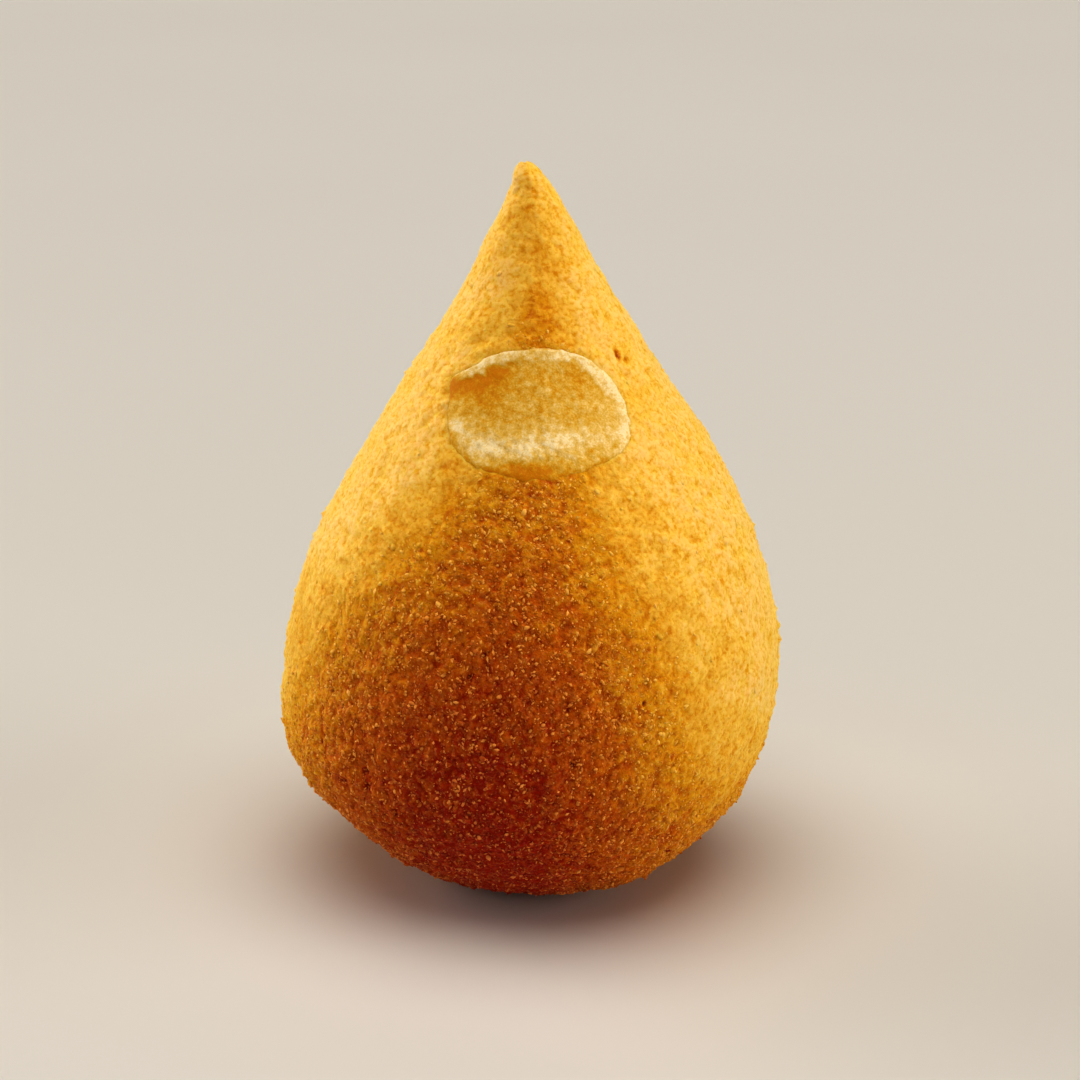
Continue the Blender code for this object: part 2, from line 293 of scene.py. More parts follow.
def marks(place):
    """How deep the larger pits and the notch in the tip reach at a place, and how much browner it is."""
    x, y = place[0] - middle_across(place[2]), place[1] - cone_middle[1]
    turn, out = math.atan2(y, x), math.hypot(x, y)
    depth, browner = 0.0, 0.0
    for mark_turn, height, width, tallness, deep, brown_there in MARKS:
        across = (turn - math.radians(mark_turn)) * out
        reach = (across / width) ** 2 + ((place[2] - height) / tallness) ** 2
        if reach < MARK_END ** 2:
            depth += deep * math.exp(-reach)
            browner += brown_there * math.exp(-reach)
    down = (cad_box[1].z - place[2]) / NOTCH_REACH
    if down < MARK_END:
        depth += NOTCH_DEPTH * math.exp(-(((place[0] - NOTCH_ACROSS) / NOTCH_WIDTH) ** 2) - down * down)
    return depth, browner


def coat_relief(place):
    """How far the coat stands out at a place of the skin: by its soft swells and by its crumb."""
    swell = SWELL_DEPTH * noise.noise(place / SWELL_SIZE)
    bend = Vector(noise.noise_vector(place / GRAIN_SIZE)) * GRAIN_BEND
    grain = GRAIN_DEPTH * (GRAIN_MIDDLE - noise.voronoi(place / GRAIN_SIZE + bend)[0][0])
    fine = FINE_GRAIN_DEPTH * (GRAIN_MIDDLE - noise.voronoi(place / FINE_GRAIN_SIZE)[0][0])
    return swell, grain + fine


def coat_at(base, outward, brown_and_shade):
    """The coat at a place: its relief, the painted shade and browning of its hollows, the painted highlight
    of its crests, and its share of the tip.
    """
    place, up = Vector(base), base[2]
    beyond = beyond_label(base)
    bed_left = ramp(beyond, *BED_INSIDE) * (1.0 - ramp(beyond, *BED_OUTSIDE))
    open_coat = ramp(up, 0.0, SMOOTH_FOOT) * ramp(beyond, *COAT_FROM_LABEL)
    tip = ramp(up, *TIP_RISE) * (TIP_SIDES + (1.0 - TIP_SIDES) * outward[2] ** 2)

    burst = PIT_DEPTH * spots(place, PIT_SPACING, PIT_LIMIT, PIT_RADIUS)
    burst *= ramp(brown_and_shade, *PIT_BROWNING) * (1.0 - ramp(up, *PITS_END))
    lump = spots(place, LUMP_SPACING, LUMP_LIMIT, LUMP_RADIUS) * (1.0 - ramp(up, *LUMPS_END))
    deep_mark, brown_mark = marks(place)
    swell, crumb = coat_relief(place)
    rough = ROUGH_LEAST + ROUGH_BROWN * ramp(brown_and_shade, *ROUGH_BROWNING) - SMOOTHER_TOP * ramp(up, *SMOOTHER_RISE)
    coat = (swell + crumb) * rough + LUMP_HEIGHT * lump
    relief = coat * open_coat + BED_DEPTH * bed_left + TIP_FILL * tip - (burst + deep_mark) * open_coat

    # painted shade: the gaps of the crumb relief are made browner
    gap_shade = GAP_SHADE * (GAP_SHADE_LEAST + (1.0 - GAP_SHADE_LEAST) * ramp(brown_and_shade, *GAP_BROWNING))
    gap_shade *= min(max(-crumb / GAP_DEPTH - lump, 0.0), 1.0)
    # how hollow a place looks: painted shade in pits and crumb gaps, partly browning in the pits, and the
    # browner marks
    hollow = min((burst / DARK_PIT_DEPTH + brown_mark + gap_shade) * open_coat, 1.0)
    # painted highlight: the crumb tops and lumps of the relief are made paler
    crest = min(max(crumb / GAP_DEPTH, 0.0) + lump, 1.0) * open_coat
    crest *= 1.0 - TIP_CREST * ramp(up, *LUMPS_END)
    return relief, hollow, crest, tip


skin_normals = np.empty(len(skin.vertices) * 3)
skin.vertex_normals.foreach_get("vector", skin_normals)
skin_normals = skin_normals.reshape(-1, 3)
coat = [coat_at(*spot) for spot in zip(skin_base, skin_normals, browned_and_shaded(skin_base))]
relief, hollow, crest, tip = np.ascontiguousarray(np.array(coat).T)
skin_base[:, 0] -= TIP_LEAN * tip
skin_points = skin_base + skin_normals * relief[:, None]
skin_points[:, 2] = np.maximum(skin_points[:, 2], 0.0)
skin.vertices.foreach_set("co", skin_points.ravel())
skin.update()
skin.shade_smooth()


def linear(red, green, blue):
    """A colour given as screen values from 0 to 255, as the shader's linear values."""
    def one(value):
        share = value / 255.0
        return share / 12.92 if share <= 0.04045 else ((share + 0.055) / 1.055) ** 2.4

    return (one(red), one(green), one(blue), 1.0)


class Finish:
    """A Principled material being put together from its nodes."""

    def __init__(self, name):
        self.material = bpy.data.materials.new(name)
        self.material.use_nodes = True
        self.nodes = self.material.node_tree.nodes
        self.shader = self.nodes["Principled BSDF"]
        self.place = self.node("ShaderNodeTexCoord").outputs["Object"]

    def node(self, kind, inputs=(), **settings):
        """A node with its settings, and its inputs set or linked by name or number."""
        made = self.nodes.new(kind)
        for key, value in settings.items():
            setattr(made, key, value)
        for key, value in dict(inputs).items():
            self.feed(made.inputs[key], value)
        return made

    def feed(self, socket, value):
        """Links an output to a socket, or sets the socket's own value."""
        if isinstance(value, bpy.types.NodeSocket):
            self.material.node_tree.links.new(value, socket)
        else:
            socket.default_value = value

    def speckle(self, size, detail=2.0, roughness=0.5):
        """Soft noise from 0 to 1 with blobs of a size in metres."""
        inputs = {"Vector": self.place, "Scale": 1.0 / size, "Detail": detail, "Roughness": roughness}
        return self.node("ShaderNodeTexNoise", inputs).outputs["Fac"]

    def spread(self, value, low, high, start=0.0, end=1.0):
        """A value stretched from low..high to start..end."""
        inputs = {"Value": value, "From Min": low, "From Max": high, "To Min": start, "To Max": end}
        return self.node("ShaderNodeMapRange", inputs).outputs["Result"]

    def mottle(self, speckle, start, end):
        """Nearly all of a soft noise stretched to start..end."""
        return self.spread(speckle, 0.3, 0.7, start, end)

    def sum(self, one, other, operation="ADD"):
        """Two values joined by a sum or another operation, held to 0..1."""
        return self.node("ShaderNodeMath", {0: one, 1: other}, operation=operation, use_clamp=True).outputs[0]

    def mix(self, share, under, over):
        """Two colours mixed."""
        made = self.node("ShaderNodeMix", data_type="RGBA")
        colours = [socket for socket in made.inputs if socket.type == "RGBA"]
        self.feed(made.inputs[0], share)
        self.feed(colours[0], under)
        self.feed(colours[1], over)
        return [socket for socket in made.outputs if socket.type == "RGBA"][0]

    def read(self, name):
        """A value kept on the mesh."""
        return self.node("ShaderNodeAttribute", attribute_name=name).outputs["Fac"]

    def set(self, **values):
        """Sets or links the shader's own sockets, spaces in their names written as underscores."""
        for key, value in values.items():
            self.feed(self.shader.inputs[key.replace("_", " ")], value)

    def bump(self, height, depth, strength=1.0):
        """Gives the finish a fine relief."""
        inputs = {"Height": height, "Distance": depth, "Strength": strength}
        self.set(Normal=self.node("ShaderNodeBump", inputs).outputs["Normal"])


# The colours of the fried crumb by how brown it is, and the paler ones of the pale grains, also painted on
# the crumb tops as a painted highlight
FRIED_COLOURS = (
    (0.0, linear(249, 206, 122)),
    (0.08, linear(243, 200, 84)),
    (0.22, linear(231, 168, 16)),
    (0.5, linear(206, 110, 0)),
    (1.0, linear(166, 32, 0)),
)
PALE_AND_HIGHLIGHT_COLOURS = (
    (0.0, linear(254, 218, 146)),
    (0.15, linear(250, 206, 98)),
    (0.45, linear(246, 178, 80)),
    (1.0, linear(232, 146, 72)),
)
# The darkened bottom of the pits and the browner marks: partly browning, partly painted shade
PIT_BOTTOM = linear(128, 46, 2)
PATCH_SIZE, PATCH_TONE = 5.0 * MM, 0.05  # soft patches, and how much browner or paler they are
DAB_SIZE, DAB_LEAST, DAB_MOST = 1.2 * MM, 0.8, 1.2  # small dabs, and what they multiply the browning by
SPONGE_SIZE, SPONGE_RELIEF = 0.44 * MM, 0.36 * MM
SPONGE_MIDDLE, SPONGE_GAP, SPONGE_TOP = 0.50, 0.34, 0.64  # of the sponge's noise
SPONGE_SHARE = 0.7
THIN_COAT_SIZE, THIN_COAT_SHARE = 1.0 * MM, 0.75  # where the crumb lies thin and the browner batter shows
THIN_COAT_FROM, THIN_COAT_TO = 0.56, 0.70  # of its noise
# how much browner the hollow places are: painted shade in pits and gaps, and the browner marks
HOLLOW_SHADE_BROWNER = 0.75
GAP_SHADE_BROWNER, GAP_SHADE_BROWN = 0.12, 0.15  # painted shade in the sponge's gaps: how much browner they are, and how brown at least
BROWNER_REACH = 1.6  # how much one that is browner by 1 has on top of the brownest coat
CREST_LEAST = 0.25  # how much painted highlight the sponge's tops keep where the coat's relief has no crest
DARK_BOTTOM_FROM, DARK_BOTTOM_SHARE = 0.35, 0.5  # how hollow a pit is where its darkened bottom, partly browning and partly painted shade, begins to show
RELIEF_BROWNING, RELIEF_LEAST = (0.05, 0.4), 0.2  # the browner coat shows more of the sponge's relief
BLOOM_DEPTH, BLOOM_COLOURS = 0.7 * MM, (1.0, 0.7, 0.35)  # how far light goes into the crumb, by colour


def keep_values(mesh, name, values):
    """Keeps a value of each corner on the mesh, for its finish to read."""
    mesh.attributes.new(name, "FLOAT", "POINT").data.foreach_set("value", values)


def fried_tone(finish):
    """How brown a place is, with the painted shade of the front and the foot in it, and soft patches."""
    patches = finish.mottle(finish.speckle(PATCH_SIZE, 3.0), -PATCH_TONE, PATCH_TONE)
    dabs = finish.mottle(finish.speckle(DAB_SIZE, 2.0), DAB_MOST, DAB_LEAST)
    return finish.sum(finish.sum(finish.read("browned_and_shaded"), patches), dabs, "MULTIPLY")


def colour_steps(finish, value, steps):
    """A colour read from a row of steps by a value from 0 to 1."""
    tones = finish.node("ShaderNodeValToRGB", {"Fac": value})
    row = tones.color_ramp.elements
    while len(row) < len(steps):
        row.new(0.5)
    for step, (share, colour) in zip(row, steps):
        step.position = share
        step.color = colour
    return tones.outputs["Color"]


def fried_colour(finish, tone, browner=0.0, least=0.0):
    """The coat's colour for a tone, or for one browner by a share of it and by at least some."""
    if browner or least:
        tone = finish.spread(tone, 0.0, 1.0, least, 1.0 + BROWNER_REACH * browner)
    return colour_steps(finish, tone, FRIED_COLOURS)


def crust_finish():
    """Golden crumb coat: a fine sponge of crumb, with painted shade making it browner in its gaps and darkest
    in its pits, and a painted highlight making its tops paler.
    """
    finish = Finish("golden_crumb_crust")
    tone = fried_tone(finish)
    hollow = finish.read("hollow")
    deep = finish.sum(tone, finish.sum(hollow, HOLLOW_SHADE_BROWNER, "MULTIPLY"))
    sponge = finish.speckle(SPONGE_SIZE, 2.0, 0.6)
    thin_coat = finish.speckle(THIN_COAT_SIZE, 2.0)
    thin_coat = finish.spread(thin_coat, THIN_COAT_FROM, THIN_COAT_TO, 0.0, THIN_COAT_SHARE)
    # painted shade: the sponge's low places browner, with the thin coat's random browner patches
    gaps = finish.sum(finish.spread(sponge, SPONGE_MIDDLE, SPONGE_GAP, 0.0, SPONGE_SHARE), thin_coat)
    fried = finish.mix(gaps, fried_colour(finish, deep), fried_colour(finish, deep, GAP_SHADE_BROWNER, GAP_SHADE_BROWN))
    # painted highlight: the sponge's tops and the relief's crests paler
    tops = finish.spread(sponge, SPONGE_MIDDLE, SPONGE_TOP, 0.0, SPONGE_SHARE)
    crest = finish.spread(finish.read("crest"), 0.0, 1.0, CREST_LEAST, 1.0)
    crests = finish.sum(tops, crest, "MULTIPLY")
    fried = finish.mix(crests, fried, colour_steps(finish, tone, PALE_AND_HIGHLIGHT_COLOURS))
    # pit bottoms and browner marks darkened: partly browning, partly painted shade
    fried = finish.mix(finish.spread(hollow, DARK_BOTTOM_FROM, 1.0, 0.0, DARK_BOTTOM_SHARE), fried, PIT_BOTTOM)
    finish.set(Base_Color=fried, Roughness=finish.mottle(sponge, 0.6, 0.45))
    finish.set(Subsurface_Weight=0.8, Subsurface_Radius=BLOOM_COLOURS, Subsurface_Scale=BLOOM_DEPTH)
    finish.set(Specular_IOR_Level=0.06)
    finish.bump(sponge, SPONGE_RELIEF, finish.spread(tone, *RELIEF_BROWNING, RELIEF_LEAST, 1.0))
    return finish.material


keep_values(skin, "browned_and_shaded", browned_and_shaded(skin_points))
keep_values(skin, "hollow", hollow)
keep_values(skin, "crest", crest)

# The body's texture map: one disc, with the tip in its middle, and the flat foot small in a corner
DISC_LEVELS, DISC_RADIUS = 200, 0.495
FOOT_MIDDLE, FOOT_RADIUS = 0.07, 0.06
FOOT_HEIGHT = 0.02 * MM


def flat_disc_map(mesh):
    """Lays the body out on its own texture map as one disc round the tip, with the foot in a corner."""
    places = points_of(mesh)
    height = np.linspace(0.0, cad_box[1].z, DISC_LEVELS)
    ring = np.hypot(places[:, 0], places[:, 1])
    level = np.digitize(places[:, 2], height) - 1
    reach = np.array([ring[level == k].mean() if (level == k).any() else 0.0 for k in range(len(height))])
    run = np.concatenate([[0.0], np.cumsum(np.hypot(np.diff(height), np.diff(reach)))])
    out = 1.0 - np.interp(places[:, 2], height, run) / run[-1]
    foot = places[:, 2] < FOOT_HEIGHT
    turn = np.arctan2(places[:, 1], places[:, 0])
    plan = np.stack([np.cos(turn), np.sin(turn)], axis=1)
    disc = 0.5 + DISC_RADIUS * out[:, None] * plan
    corners = np.empty(len(mesh.loops), np.int64)
    mesh.loops.foreach_get("vertex_index", corners)
    sides = np.empty(len(mesh.polygons), np.int64)
    mesh.polygons.foreach_get("loop_total", sides)
    starts = np.empty(len(mesh.polygons), np.int64)
    mesh.polygons.foreach_get("loop_start", starts)
    face = np.repeat(np.arange(len(sides)), sides)
    on_foot = np.logical_and.reduceat(foot[corners], starts)[face]
    small = FOOT_MIDDLE + FOOT_RADIUS * places[:, :2] / (cad_box[1].x / 2.0)
    layer = mesh.uv_layers.new(name="OFBake")
    layer.uv.foreach_set("vector", np.where(on_foot[:, None], small[corners], disc[corners]).ravel())


def piece_of(mesh, name, material, slot, *nodes):
    """An object of a mesh that rides on the body and stands for the named solids."""
    piece = bpy.data.objects.new(name, mesh)
    bpy.context.scene.collection.objects.link(piece)
    mesh.materials.clear()
    mesh.materials.append(material)
    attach(piece, "root")
    if nodes:
        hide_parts(*nodes)


flat_disc_map(skin)
piece_of(skin, "crumb_crust", crust_finish(), "crust", "breadcrumb_crust")


# The breadcrumbs: dry bread ground fine, stuck on by the batter and fried with the body.
# Each kind is one joined mesh of loose-looking grains, half sunk in the coat, at their true size.
SEED = 20  # of the first kind's random draws, and the next kind has the next number
SHAPES = 24  # different grains of each kind
KNOBS = (0.7, 1.2)  # how far the corners of a grain stand out
FLATTEST, THICKEST = (0.9, 0.6, 0.4), (1.6, 1.0, 0.65)  # length, width and thickness of a grain
TUMBLE = 0.3  # how far a grain tips off the skin
LABEL_OVERLAP = 0.15 * MM  # how far a grain may sit inside the label's edge
SMOOTH_TIP, SMOOTH_TIP_RISE = 0.7, (66.0 * MM, 78.0 * MM)  # the tip, rubbed smooth, keeps fewer grains
COVERED_BROWNING, COVERED_EDGE = 0.2, 4  # how brown the coat, painted shade included, is where the grains begin, and how sharply
HALF_GRAIN, FLOOR_SPACE = 0.55, 0.1 * MM  # a grain's reach downwards in its widths, and the space under it
GRAIN_PATCH_SIZE, GRAIN_PATCH_TONE = 0.3 * MM, 0.15
GRAIN_BROWN, GRAIN_BROWNER = 0.03, 0.3  # a grain's least browning, and what browner kinds have on top
# Where the corners of two triangles lie in their square of the texture map
LOW_TRIANGLE = ((0.08, 0.08), (0.82, 0.08), (0.08, 0.82))
HIGH_TRIANGLE = ((0.92, 0.92), (0.18, 0.92), (0.92, 0.18))
LIFT, LIFT_SPREAD = 0.25, 0.08  # of a grain's middle over the coat, in its widths, before it sinks

# Each kind's name, count, roundness, middle width, spread of widths, how deep it is sunk, browner by,
# paler by, gloss, and the share of its grains that show where the coat stayed pale
CrumbKind = namedtuple("CrumbKind", "name count rounded width spread sunk browner paler gloss on_pale")
CRUMB_KINDS = (
    CrumbKind("fine_gold_crumbs", 24500, False, 0.27 * MM, 0.32, 0.24, 0.08, 0.24, 0.45, 0.0),
    CrumbKind("fine_pale_crumbs", 24500, False, 0.26 * MM, 0.36, 0.12, 0.00, 0.85, 0.35, 0.0),
    CrumbKind("amber_crumbs", 22000, False, 0.32 * MM, 0.32, 0.28, 0.10, 0.12, 0.45, 0.0),
    CrumbKind("golden_crumbs", 9500, True, 0.38 * MM, 0.28, 0.28, 0.00, 0.60, 0.45, 0.0),
    CrumbKind("toasted_crumbs", 600, True, 0.30 * MM, 0.30, 0.25, 0.25, 0.00, 0.50, 0.0),
    CrumbKind("coarse_crumbs", 460, True, 0.66 * MM, 0.28, 0.38, 0.00, 0.12, 0.50, 0.70),
)


def grain_shapes(draw, rounded):
    """Corners of some crumb grains about 1 across: knobbly, a little flat, no two alike. And their faces."""
    if rounded:
        ball = bmesh.new()
        bmesh.ops.create_icosphere(ball, subdivisions=1, radius=0.5)
        grain = np.array([corner.co for corner in ball.verts])
        faces = np.array([[corner.index for corner in face.verts] for face in ball.faces])
        ball.free()
    else:
        grain = 0.5 * np.array([(1, 0, 0), (0, 1, 0), (-1, 0, 0), (0, -1, 0), (0, 0, 1), (0, 0, -1)])
        sides = [(0, 1), (1, 2), (2, 3), (3, 0)]
        faces = np.array([(a, b, 4) for a, b in sides] + [(b, a, 5) for a, b in sides])
    knobs = draw.uniform(*KNOBS, (SHAPES, len(grain), 1))
    stretch = draw.uniform(FLATTEST, THICKEST, (SHAPES, 3))[:, None, :]
    return grain * knobs * stretch, faces


def crumb_seats(mesh, count, draw):
    """Random places all over a mesh, with the way out from it."""
    mesh.calc_loop_triangles()
    corners = np.empty(len(mesh.loop_triangles) * 3, np.int64)
    mesh.loop_triangles.foreach_get("vertices", corners)
    triangles = points_of(mesh)[corners.reshape(-1, 3)]
    cross = np.cross(triangles[:, 1] - triangles[:, 0], triangles[:, 2] - triangles[:, 0])
    area = np.linalg.norm(cross, axis=1)
    chosen = draw.choice(len(area), count, p=area / area.sum())
    shares = draw.dirichlet((1.0, 1.0, 1.0), count)
    seats = (triangles[chosen] * shares[:, :, None]).sum(axis=1)
    return seats, cross[chosen] / area[chosen][:, None]


def tumbled(outward, draw):
    """A turning for each grain: its flat side mostly along the skin, spun and tipped at random."""
    tipped = outward + draw.normal(0.0, TUMBLE, outward.shape)
    tipped /= np.linalg.norm(tipped, axis=1)[:, None]
    side = np.cross(tipped, draw.normal(0.0, 1.0, outward.shape))
    side /= np.linalg.norm(side, axis=1)[:, None]
    return np.stack([side, np.cross(tipped, side), tipped], axis=1)


def own_squares(mesh):
    """Gives each two triangles of a piece a small square of its texture map."""
    faces = len(mesh.polygons)
    across = math.ceil(math.sqrt((faces + 1) // 2))
    square = np.arange(faces) // 2
    low = np.stack([square % across, square // across], axis=1)
    half = np.array([LOW_TRIANGLE, HIGH_TRIANGLE])
    layer = mesh.uv_layers.new(name="OFBake")
    layer.uv.foreach_set("vector", ((low[:, None, :] + half[np.arange(faces) % 2]) / across).ravel())


def crumb_mesh(kind, draw):
    """All grains of one kind, joined in one mesh, each with its own tone."""
    seats, outward = crumb_seats(skin, kind.count, draw)
    wide = kind.width * np.exp(np.minimum(draw.normal(0.0, kind.spread, kind.count), 2.0 * kind.spread))
    clear = np.array([beyond_label(seat) for seat in seats]) > -LABEL_OVERLAP
    brown_and_shade = browned_and_shaded(seats)
    smooth = SMOOTH_TIP * np.array([ramp(seat[2], *SMOOTH_TIP_RISE) for seat in seats])
    bare = np.exp(-((brown_and_shade * (1.0 - smooth) / COVERED_BROWNING) ** COVERED_EDGE))
    shown = draw.random(kind.count) < 1.0 - (1.0 - kind.on_pale) * bare
    kept = clear & shown & (seats[:, 2] > HALF_GRAIN * wide + FLOOR_SPACE)
    seats, outward, wide, brown_and_shade = seats[kept], outward[kept], wide[kept], brown_and_shade[kept]
    shapes, faces = grain_shapes(draw, kind.rounded)
    picked = shapes[draw.integers(0, SHAPES, len(seats))] * wide[:, None, None]
    turned = picked @ tumbled(outward, draw)
    lift = (LIFT - kind.sunk + draw.normal(0.0, LIFT_SPREAD, len(seats))) * wide
    corners = (turned + (seats + outward * lift[:, None])[:, None, :]).reshape(-1, 3)
    each = len(shapes[0])
    joined = (faces[None] + each * np.arange(len(seats))[:, None, None]).reshape(-1, 3)
    mesh = bpy.data.meshes.new(kind.name)
    mesh.from_pydata(corners, [], joined)
    if kind.rounded:
        mesh.shade_smooth()
    keep_values(mesh, "tone", np.repeat(draw.random(len(seats)), each))
    keep_values(mesh, "browned_and_shaded", np.repeat(brown_and_shade, each))
    own_squares(mesh)
    return mesh


def crumb_finish(kind):
    """Fried breadcrumb: the coat's colour where it lies, with its painted shade of the front and foot, made
    paler by each grain's own tone.
    """
    finish = Finish(kind.name)
    coat_tone = fried_tone(finish)
    tone = finish.spread(finish.read("tone"), 0.0, 1.0, 0.0, 2.0 * kind.paler)
    patches = finish.mottle(finish.speckle(GRAIN_PATCH_SIZE), -GRAIN_PATCH_TONE, GRAIN_PATCH_TONE)
    tone = finish.sum(tone, patches)
    pale = colour_steps(finish, coat_tone, PALE_AND_HIGHLIGHT_COLOURS)
    fried = fried_colour(finish, coat_tone, kind.browner, GRAIN_BROWN + GRAIN_BROWNER * kind.browner)
    finish.set(Base_Color=finish.mix(tone, fried, pale), Roughness=kind.gloss, Specular_IOR_Level=0.15)
    return finish.material


for number, kind in enumerate(CRUMB_KINDS):
    grains = crumb_mesh(kind, np.random.default_rng(SEED + number))
    piece_of(grains, kind.name, crumb_finish(kind), "crust")


# The label: an oval of edible wafer, pressed on the hot crust, where oil has soaked part of it clear.
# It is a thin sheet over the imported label, with a dry raised rim, a sunk soaked part and small blisters.
LABEL_RINGS, LABEL_SECTORS = 64, 260
LABEL_ROOT = 0.9 * MM  # how far its underside reaches into the crust
LABEL_ROUND = 0.95  # share of the way out where the edge rounds down
LABEL_ROLL = 0.28 * MM
LABEL_LIFT = 0.32 * MM  # of the sheet's face over the bed under it
SHEET_WIDENING = 1.01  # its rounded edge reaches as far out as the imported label's
RIM_WIDTH, RIM_HEIGHT, RIM_WIDER = 1.35 * MM, 0.12 * MM, 0.25  # wider to the right by this share
RIM_SOAKED, RIM_GAP_WIDTH = 0.75, 1.5 * MM  # how much of the top of the rim is soaked too, and how wide
CLEAR_WIDTH = 0.8 * MM  # of the soaked margin along the low left edge
CLEAR_SUNK = 0.20 * MM  # of that margin's edge, which lies flush in the crust
BLISTER_SIZE, BLISTER_HEIGHT = 0.80 * MM, 0.22 * MM
LEFT_LINE = 0.45 * MM  # of the pale line along the left edge
EVEN_DRYNESS = 0.50
RIM_DRYER, LINE_DRYER, CLEAR_WETTER = 0.43, 0.4, 0.28
MOTTLED_DRYNESS = 0.26
WANDER, FINE_WANDER = 0.8 * MM, 0.5 * MM  # how far the wet and dry edges wander
SWELL_HEIGHT, SWELL_WIDE, SWELL_NARROW = 0.08 * MM, 2.4 * MM, 1.0 * MM
FLUSH_WIDTH = 0.9 * MM
BLISTERS_ALL_OVER = 0.2  # of their height in the low left
DRY_RISE = 0.10 * MM  # the dry wafer stands a little higher than the soaked

# Soaked places (minus) and dry ones: middle across and up the label, reach across and up it, in mm,
# and how much
SOAKED_PLACES = (
    (-10.0, 2.7, 1.3, 1.3, -0.50),
    (-7.2, 3.1, 2.9, 1.6, -0.46),
    (-4.5, 4.7, 2.2, 1.3, -0.44),
    (-5.5, 0.8, 3.0, 1.5, -0.12),
    (-0.3, 4.4, 1.6, 1.6, -0.06),
    (4.6, 4.3, 2.2, 1.4, -0.16),
    (-1.0, -6.3, 3.2, 1.1, -0.50),
    (5.8, -4.4, 0.5, 0.4, -0.30),
    (-9.3, -1.9, 1.4, 0.9, 0.56),
    (-5.8, -3.8, 2.6, 1.4, 0.50),
    (-1.4, -4.0, 1.0, 0.8, 0.50),
    (2.6, -3.2, 5.0, 1.8, 0.40),
    (8.4, -1.5, 1.6, 3.0, 0.14),
)


def upper_right(x, y, high):
    """1 on the upper right of the label, where its rim is dry and raised, and 0 on the lower left."""
    return ramp(x * 0.45 + y, -3.0, high)


def dryness(across, along, inside):
    """How dry and pale the wafer is, from 0 where it is soaked clear to 1 on its rim."""
    x, y = across / MM, along / MM
    wander = WANDER * noise.noise(Vector((x, y, 3.0)) * 0.9)
    wander += FINE_WANDER * noise.noise(Vector((x, y, 9.0)) * 2.2)
    dry_side = upper_right(x, y, 1.5)
    rim_width = RIM_WIDTH * (1.0 + RIM_WIDER * ramp(x, 0.0, 8.0))
    rim = (1.0 - ramp(inside + wander, 0.6 * rim_width, 1.3 * rim_width)) * dry_side
    rim *= 1.0 - RIM_SOAKED * ramp(y, 0.0, 2.0) * math.exp(-((across / RIM_GAP_WIDTH) ** 2))
    left_line = (1.0 - ramp(inside + 0.3 * wander, 0.5 * LEFT_LINE, LEFT_LINE)) * ramp(-x, 6.0, 9.0)
    clear_edge = (1.0 - ramp(inside + wander, 0.5 * CLEAR_WIDTH, 1.5 * CLEAR_WIDTH)) * (1.0 - dry_side)
    mottled = MOTTLED_DRYNESS * noise.noise(Vector((x, y, 6.0)) * 1.3)
    dry = EVEN_DRYNESS + RIM_DRYER * rim - CLEAR_WETTER * clear_edge + mottled
    for middle_x, middle_y, reach_x, reach_y, amount in SOAKED_PLACES:
        reach = ((x - middle_x) / reach_x) ** 2 + ((y - middle_y) / reach_y) ** 2
        dry += amount * math.exp(-reach) * (1.0 - 0.8 * rim)
    dry += LINE_DRYER * left_line
    return min(max(dry, 0.0), 1.0)


def sheet_relief(across, along, inside, dry):
    """Height of the wafer's face over its plain form."""
    place = Vector((across, along, 0.0))
    x, y = across / MM, along / MM
    rim = (1.0 - ramp(inside, 0.7 * RIM_WIDTH, 1.6 * RIM_WIDTH)) * RIM_HEIGHT * upper_right(x, y, 2.0)
    swell = SWELL_HEIGHT * noise.noise(place / SWELL_WIDE) + SWELL_HEIGHT * noise.noise(place / SWELL_NARROW)
    flush = CLEAR_SUNK * (1.0 - ramp(inside, 0.0, FLUSH_WIDTH)) * (1.0 - upper_right(x, y, 1.5))
    low_left = ramp(-x * 0.35 - y, 1.0, 4.5)
    blister = BLISTER_HEIGHT * (0.5 - noise.voronoi(place / BLISTER_SIZE)[0][0])
    blisters = blister * (BLISTERS_ALL_OVER + low_left * dry)
    return rim + swell + blisters + DRY_RISE * (dry - 0.5) - flush


